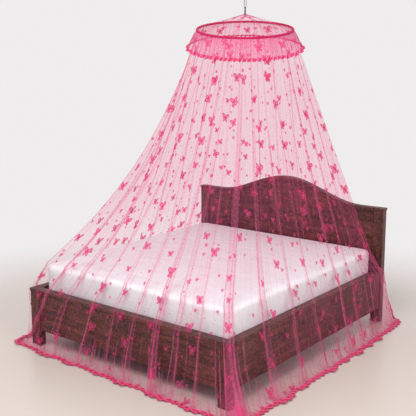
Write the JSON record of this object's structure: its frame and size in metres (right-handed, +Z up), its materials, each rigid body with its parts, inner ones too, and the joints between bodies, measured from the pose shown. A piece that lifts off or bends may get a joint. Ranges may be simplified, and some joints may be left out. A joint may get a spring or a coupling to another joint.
{
  "type": "mosquito net canopy over a bed",
  "caption": "Conical net canopy gathered on a hoop under a ceiling hook, with a flounce, draped over a bed with an arched headboard and tucked in at its head.",
  "frame": {"origin": "on the floor, in the middle of the hem's outline seen from above", "axes": "+Z up, +Y towards the bed's head, +X towards the bed's right side as seen from its foot"},
  "size_m": [2.3418, 2.4286, 2.706],
  "materials": {
    "steel": "satin",
    "net": "sheer",
    "binding": "matte",
    "lace": "matte",
    "ticking": "matte",
    "wood": "satin"
  },
  "bodies": {
    "root": {"hook_link": "steel", "swivel": "steel", "crown_net": "net", "bound_hoop": "binding", "skirt_net": "net", "hem_lace": "lace", "frill_net": "net", "frill_lace": "lace", "mattress": "ticking", "mattress_base": "wood", "foot_leg_left": "wood", "foot_leg_right": "wood", "head_post_left": "wood", "head_post_right": "wood", "post_cap_left": "wood", "post_cap_right": "wood", "foot_panel": "wood", "foot_cap": "wood", "side_rail_left": "wood", "side_rail_right": "wood", "side_cap_left": "wood", "side_cap_right": "wood", "headboard_panel": "wood", "headboard_crest": "wood"}
  },
  "joints": []
}
